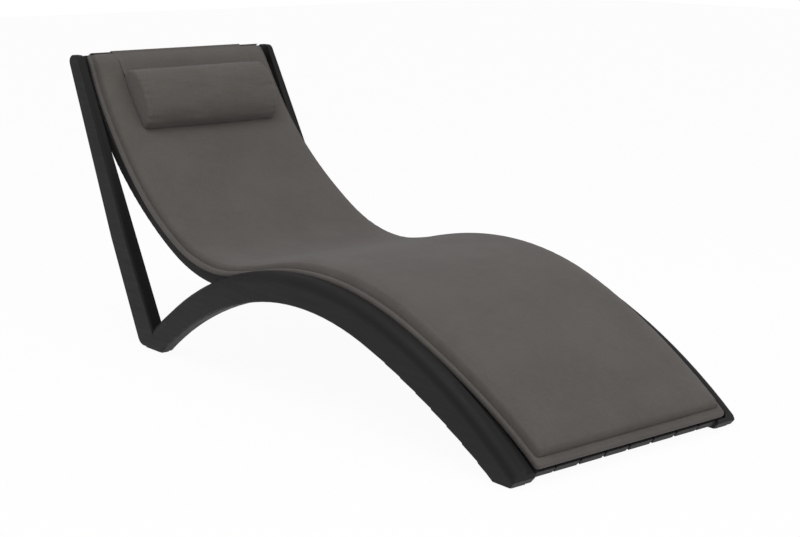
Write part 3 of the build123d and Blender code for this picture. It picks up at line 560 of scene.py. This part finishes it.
def make_pouch():
    """Flat sewn pocket round the counterweight, thicker in the middle than at its sewn edges.

    The section is a rounded rectangle, by a power of the cosine and of the sine of an angle. Its
    depth falls to nothing at both ends, where its height is a share less too.
    """
    low_corner, high_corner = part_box("weight_pouch")
    half = float(high_corner[1])
    low, high = float(low_corner[2]), float(high_corner[2])
    near_end = np.array([0, 1, 2.5, 4.5, 7, 10, 14, 20, 28]) / 1000
    in_from_end = np.concatenate([near_end, np.linspace(0.04, half, 20)])
    u = np.concatenate([-half + in_from_end, (half - in_from_end)[-2::-1]])
    angle = np.linspace(0, 2 * np.pi, 56, endpoint=False)
    cosine, sine = np.cos(angle), np.sin(angle)
    ring_x = np.sign(cosine) * np.abs(cosine) ** pouch_depth_power * pouch_depth
    ring_z = np.sign(sine) * np.abs(sine) ** pouch_height_power * (high - low) / 2
    close = rounded(half - np.abs(u), pouch_end_length)
    tall = pouch_end_share + pouch_rise_share * rounded(half - np.abs(u), pouch_corner_length)
    uneven = ripples(u[:, None], angle[None, :] * 0.02, 41, finest=0.03, coarsest=0.2)
    lumps = np.clip(1 + pouch_unevenness * uneven, 0.9, 1.0)
    x = rear_face_x + pouch_off_face + ring_x[None, :] * close[:, None] * lumps
    z = (high + low) / 2 + ring_z[None, :] * tall[:, None]
    points = np.stack([x, u[:, None] + 0 * x, z], axis=-1)
    girth = np.linspace(0, 0.1, angle.size, endpoint=False)
    maps = np.stack([u[:, None] + 0 * x, girth[None, :] + 0 * x], axis=-1)
    gap = np.minimum(half - np.abs(u)[:, None], high - z) - pouch_hem
    seam = {"seam_gap": gap, "seam_run": u[:, None] + 0 * x}
    return make_piece("counterweight_pouch", points, grid_faces(*x.shape, wrap=True), maps, seam)


def new_material(name):
    """Empty node material with one Principled shader."""
    material = bpy.data.materials.new(name)
    material.use_nodes = True
    tree = material.node_tree
    tree.nodes.clear()
    output = tree.nodes.new("ShaderNodeOutputMaterial")
    surface = tree.nodes.new("ShaderNodeBsdfPrincipled")
    tree.links.new(surface.outputs["BSDF"], output.inputs["Surface"])
    return material, tree, surface


class Wiring:
    """Short ways to add the nodes of one material."""

    def __init__(self, tree):
        self.tree = tree

    def put(self, socket, value):
        if hasattr(value, "is_output"):
            self.tree.links.new(value, socket)
        else:
            socket.default_value = value

    def math(self, operation, *values):
        node = self.tree.nodes.new("ShaderNodeMath")
        node.operation = operation
        for socket, value in zip(node.inputs, values):
            self.put(socket, value)
        return node.outputs[0]

    def noise(self, vector, scale, detail=3.0, roughness=0.55):
        node = self.tree.nodes.new("ShaderNodeTexNoise")
        node.inputs["Scale"].default_value = scale
        node.inputs["Detail"].default_value = detail
        node.inputs["Roughness"].default_value = roughness
        self.tree.links.new(vector, node.inputs["Vector"])
        return node.outputs["Fac"]

    def between(self, value, low, high, out_low=0.0, out_high=1.0):
        node = self.tree.nodes.new("ShaderNodeMapRange")
        for socket, given in zip(node.inputs, (value, low, high, out_low, out_high)):
            self.put(socket, given)
        return node.outputs["Result"]

    def mix(self, share, first, second):
        node = self.tree.nodes.new("ShaderNodeMix")
        node.data_type = "RGBA"
        self.put(node.inputs["Factor"], share)
        self.put(node.inputs[6], first)
        self.put(node.inputs[7], second)
        return node.outputs[2]

    def scaled(self, vector, scale):
        node = self.tree.nodes.new("ShaderNodeMapping")
        node.inputs["Scale"].default_value = scale
        self.tree.links.new(vector, node.inputs["Vector"])
        return node.outputs["Vector"]

    def attribute(self, name):
        node = self.tree.nodes.new("ShaderNodeAttribute")
        node.attribute_name = name
        return node.outputs["Fac"]

    def bump(self, surface, height, strength, distance):
        node = self.tree.nodes.new("ShaderNodeBump")
        node.inputs["Strength"].default_value = strength
        node.inputs["Distance"].default_value = distance
        self.put(node.inputs["Height"], height)
        self.tree.links.new(node.outputs["Normal"], surface.inputs["Normal"])


def colour_of(values, tone=1.0):
    """A node colour from three values and a tone that scales them."""
    return tuple(tone * value for value in values) + (1.0,)


# Cloth: colours of the darker and the paler yarn and of the seams' thread, width of two threads
# of the weave, and length of a stitch with its gap
dark_yarn = (0.0835, 0.0745, 0.0670)
pale_yarn = (0.1190, 0.1075, 0.0970)
seam_thread = (0.150, 0.137, 0.125)
weave_pitch = 0.00115
stitch_pitch = 0.0042


def make_cloth(name):
    """Plain-weave outdoor cloth: threads on the cloth's own map, melange yarn, and stitches."""
    material, tree, surface = new_material(name)
    wire = Wiring(tree)
    coordinates = tree.nodes.new("ShaderNodeTexCoord")
    body, cloth = coordinates.outputs["Object"], coordinates.outputs["UV"]
    split = tree.nodes.new("ShaderNodeSeparateXYZ")
    tree.links.new(cloth, split.inputs[0])
    turns = 2 * np.pi / weave_pitch
    warp = wire.math("SINE", wire.math("MULTIPLY", split.outputs[0], turns))
    weft = wire.math("SINE", wire.math("MULTIPLY", split.outputs[1], turns))
    weave = wire.math("MULTIPLY", warp, weft)
    slub_along = wire.noise(wire.scaled(cloth, (300.0, 34.0, 1.0)), 1.0, 2.0)
    slub_across = wire.noise(wire.scaled(cloth, (34.0, 300.0, 1.0)), 1.0, 2.0)
    slubs = wire.math("ADD", slub_along, slub_across)
    patch = wire.noise(body, 7.0, 4.0, 0.6)
    speck = wire.noise(wire.scaled(cloth, (900.0, 900.0, 1.0)), 1.0, 1.0)
    patches = wire.math("MULTIPLY", wire.between(patch, 0.35, 0.65), 0.30)
    mottle = wire.math("ADD", patches, wire.math("MULTIPLY", speck, 0.34))
    share = wire.math("ADD", wire.math("MULTIPLY", wire.between(slubs, 0.7, 1.3), 0.36), mottle)
    colour = wire.mix(share, colour_of(dark_yarn), colour_of(pale_yarn))
    near = wire.between(wire.math("ABSOLUTE", wire.attribute("seam_gap")), 0.0004, 0.0011, 1.0, 0.0)
    steps = wire.math("MULTIPLY", wire.attribute("seam_run"), 1 / stitch_pitch)
    from_middle = wire.math("ABSOLUTE", wire.math("SUBTRACT", wire.math("FRACT", steps), 0.5))
    stitch = wire.math("MULTIPLY", near, wire.between(from_middle, 0.30, 0.38, 1.0, 0.0))
    colour = wire.mix(wire.math("MULTIPLY", stitch, 0.35), colour, colour_of(seam_thread))
    height = wire.math("ADD", wire.math("MULTIPLY", weave, 0.35), wire.math("MULTIPLY", slubs, 0.4))
    height = wire.math("ADD", height, wire.math("MULTIPLY", stitch, 1.6))
    wire.put(surface.inputs["Base Color"], colour)
    wire.put(surface.inputs["Roughness"], wire.between(speck, 0.2, 0.8, 0.86, 0.97))
    surface.inputs["Specular IOR Level"].default_value = 0.18
    surface.inputs["Sheen Weight"].default_value = 0.12
    surface.inputs["Sheen Roughness"].default_value = 0.5
    surface.inputs["Sheen Tint"].default_value = (0.86, 0.86, 1.0, 1.0)
    wire.bump(surface, height, 0.5, 0.0003)
    return material


def make_stained_wood(name, direction, base):
    """Near-black satin finish over fine grain that runs along the piece, paler where edges wear."""
    material, tree, surface = new_material(name)
    wire = Wiring(tree)
    body = tree.nodes.new("ShaderNodeTexCoord").outputs["Object"]
    stretch = tuple(9.0 if axis == direction else 170.0 for axis in range(3))
    grain = wire.noise(wire.scaled(body, stretch), 1.0, 5.0, 0.62)
    cloudy = wire.noise(body, 5.0, 3.0)
    orange_peel = wire.noise(body, 420.0, 2.0)
    grain_half = wire.math("MULTIPLY", wire.between(grain, 0.3, 0.7), 0.5)
    cloudy_half = wire.math("MULTIPLY", wire.between(cloudy, 0.3, 0.7), 0.5)
    share = wire.math("ADD", grain_half, cloudy_half)
    edges = tree.nodes.new("ShaderNodeNewGeometry").outputs["Pointiness"]
    worn = wire.math("MULTIPLY", wire.between(edges, 0.505, 0.56), 0.35)
    darker = colour_of((1.0, 0.99, 0.98), base * 0.88)
    paler = colour_of((1.0, 0.99, 0.97), base * 1.18)
    colour = wire.mix(share, darker, paler)
    colour = wire.mix(worn, colour, colour_of((1.0, 0.98, 0.95), base * 2.1))
    wire.put(surface.inputs["Base Color"], colour)
    wire.put(surface.inputs["Roughness"], wire.between(grain, 0.3, 0.7, 0.50, 0.62))
    surface.inputs["Specular IOR Level"].default_value = 0.18
    relief = wire.math("ADD", grain, wire.math("MULTIPLY", orange_peel, 0.35))
    wire.bump(surface, relief, 0.3, 0.00025)
    return material


def make_hard(name, colour, roughness, metal, level=0.5):
    """Metal or moulded plastic with fine scratches and a little unevenness."""
    material, tree, surface = new_material(name)
    wire = Wiring(tree)
    body = tree.nodes.new("ShaderNodeTexCoord").outputs["Object"]
    fine = wire.noise(body, 900.0, 3.0)
    broad = wire.noise(body, 60.0, 2.0)
    shade = wire.mix(broad, colour_of(colour, 0.9), colour_of(colour))
    scratches = wire.between(fine, 0.3, 0.7, roughness - 0.06, roughness + 0.06)
    wire.put(surface.inputs["Base Color"], shade)
    wire.put(surface.inputs["Roughness"], scratches)
    surface.inputs["Metallic"].default_value = metal
    surface.inputs["Specular IOR Level"].default_value = level
    wire.bump(surface, fine, 0.2, 0.0001)
    return material


cloth = make_cloth("taupe outdoor cloth")
side_wood = make_stained_wood("stained side frame", 0, 0.0100)
slat_wood = make_stained_wood("stained slat", 0, 0.0098)
cross_wood = make_stained_wood("stained crossbar", 1, 0.0098)
steel = make_hard("zinc-plated steel", (0.55, 0.55, 0.56), 0.35, 1.0)
spacer_black = make_hard("black spacer", (0.05, 0.05, 0.052), 0.45, 0.6)
glide_plastic = make_hard("glide plastic", (0.012, 0.012, 0.012), 0.55, 0.0, 0.3)

# The first start that fits a node's name gives its finish
finishes = (
    ("slat_screws", steel), ("rail_bolts", steel), ("threaded_inserts", steel),
    ("weight_bar", steel), ("rail_spacers", spacer_black), ("foot_glide", glide_plastic),
    ("crossbar", cross_wood), ("slat", slat_wood), ("side_frame", side_wood),
    ("edge_rail", side_wood),
)
for node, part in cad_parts.items():
    for start, finish in finishes:
        if node.startswith(start):
            part.data.materials.clear()
            part.data.materials.append(finish)
            break

# Soft pieces on their bodies
pad = make_cushion()
pocket = make_pocket()
pillow = make_pillow()
flap, flap_rear, flap_run = make_flap()
pouch = make_pouch()
for piece in (pad, pocket, pillow, flap, flap_rear, pouch):
    piece.data.materials.append(cloth)

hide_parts("cushion_cover", "cushion_foam")
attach(pad, "cushion")

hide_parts("cushion_pocket")
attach(pocket, "cushion")

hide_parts("pillow_cover", "pillow_filling")
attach(pillow, "pillow")

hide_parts("pillow_flap_front", "flap_over_top")
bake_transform(flap)

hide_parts("flap_rear")
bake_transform(flap_rear)

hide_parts("weight_pouch")
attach(pouch, "counterweight")

# Pale floor that looks white to the camera and keeps the object's shadow
floor_mesh = bpy.data.meshes.new("floor")
floor_reach, floor_drop = 14, 0.0002
floor_signs = ((-1, -1), (1, -1), (1, 1), (-1, 1))
corners = [(x * floor_reach, y * floor_reach, -floor_drop) for x, y in floor_signs]
floor_mesh.from_pydata(corners, [], [(0, 1, 2, 3)])
floor = bpy.data.objects.new("floor", floor_mesh)
bpy.context.scene.collection.objects.link(floor)


def mixed_by_ray(tree, kinds, share, plain, white):
    """Mix of a plain and a white shader, by a share of the rays of the named kinds."""
    path = tree.nodes.new("ShaderNodeLightPath")
    wire = Wiring(tree)
    seen = wire.math("MAXIMUM", *[path.outputs[kind] for kind in kinds])
    seen = wire.math("MULTIPLY", seen, share)
    blend = tree.nodes.new("ShaderNodeMixShader")
    tree.links.new(seen, blend.inputs[0])
    tree.links.new(plain, blend.inputs[1])
    tree.links.new(white, blend.inputs[2])
    return blend.outputs[0]


floor_material = bpy.data.materials.new("pale floor")
floor_material.use_nodes = True
tree = floor_material.node_tree
tree.nodes.clear()
plain = tree.nodes.new("ShaderNodeBsdfDiffuse")
plain.inputs["Color"].default_value = (0.88, 0.88, 0.88, 1.0)
white = tree.nodes.new("ShaderNodeEmission")
white_to = ("Is Camera Ray", "Is Glossy Ray")
mixed = mixed_by_ray(tree, white_to, 0.95, plain.outputs[0], white.outputs[0])
tree.links.new(mixed, tree.nodes.new("ShaderNodeOutputMaterial").inputs["Surface"])
floor_mesh.materials.append(floor_material)

world = bpy.data.worlds.new("studio")
bpy.context.scene.world = world
world.use_nodes = True
tree = world.node_tree
tree.nodes.clear()
ambient = tree.nodes.new("ShaderNodeBackground")
ambient.inputs["Color"].default_value = (1.0, 1.0, 1.0, 1.0)
ambient.inputs["Strength"].default_value = 0.55
backdrop = tree.nodes.new("ShaderNodeBackground")
backdrop.inputs["Color"].default_value = (1.0, 1.0, 1.0, 1.0)
white_to = ("Is Camera Ray", "Is Transmission Ray")
mixed = mixed_by_ray(tree, white_to, 1.0, ambient.outputs[0], backdrop.outputs[0])
tree.links.new(mixed, tree.nodes.new("ShaderNodeOutputWorld").inputs["Surface"])


def soft_lamp(name, place, target, size, power):
    """Square area lamp at a place, turned to a target."""
    data = bpy.data.lights.new(name, "AREA")
    data.shape = "SQUARE"
    data.size = size
    data.energy = power
    lamp = bpy.data.objects.new(name, data)
    bpy.context.scene.collection.objects.link(lamp)
    back = np.array(place, dtype=float) - np.array(target, dtype=float)
    back /= np.linalg.norm(back)
    right = np.cross((0.0, 0.0, 1.0), back)
    right /= np.linalg.norm(right)
    turned = np.eye(4)
    turned[:3, 0], turned[:3, 1] = right, np.cross(back, right)
    turned[:3, 2], turned[:3, 3] = back, place
    lamp.matrix_world = Matrix(turned.tolist())


soft_lamp("key", (0.6, -1.4, 3.6), (0.0, 0.0, 0.3), 2.6, 54.0)
soft_lamp("fill", (3.6, 1.2, 2.4), (0.0, 0.0, 0.3), 2.6, 30.0)

bpy.context.view_layer.update()
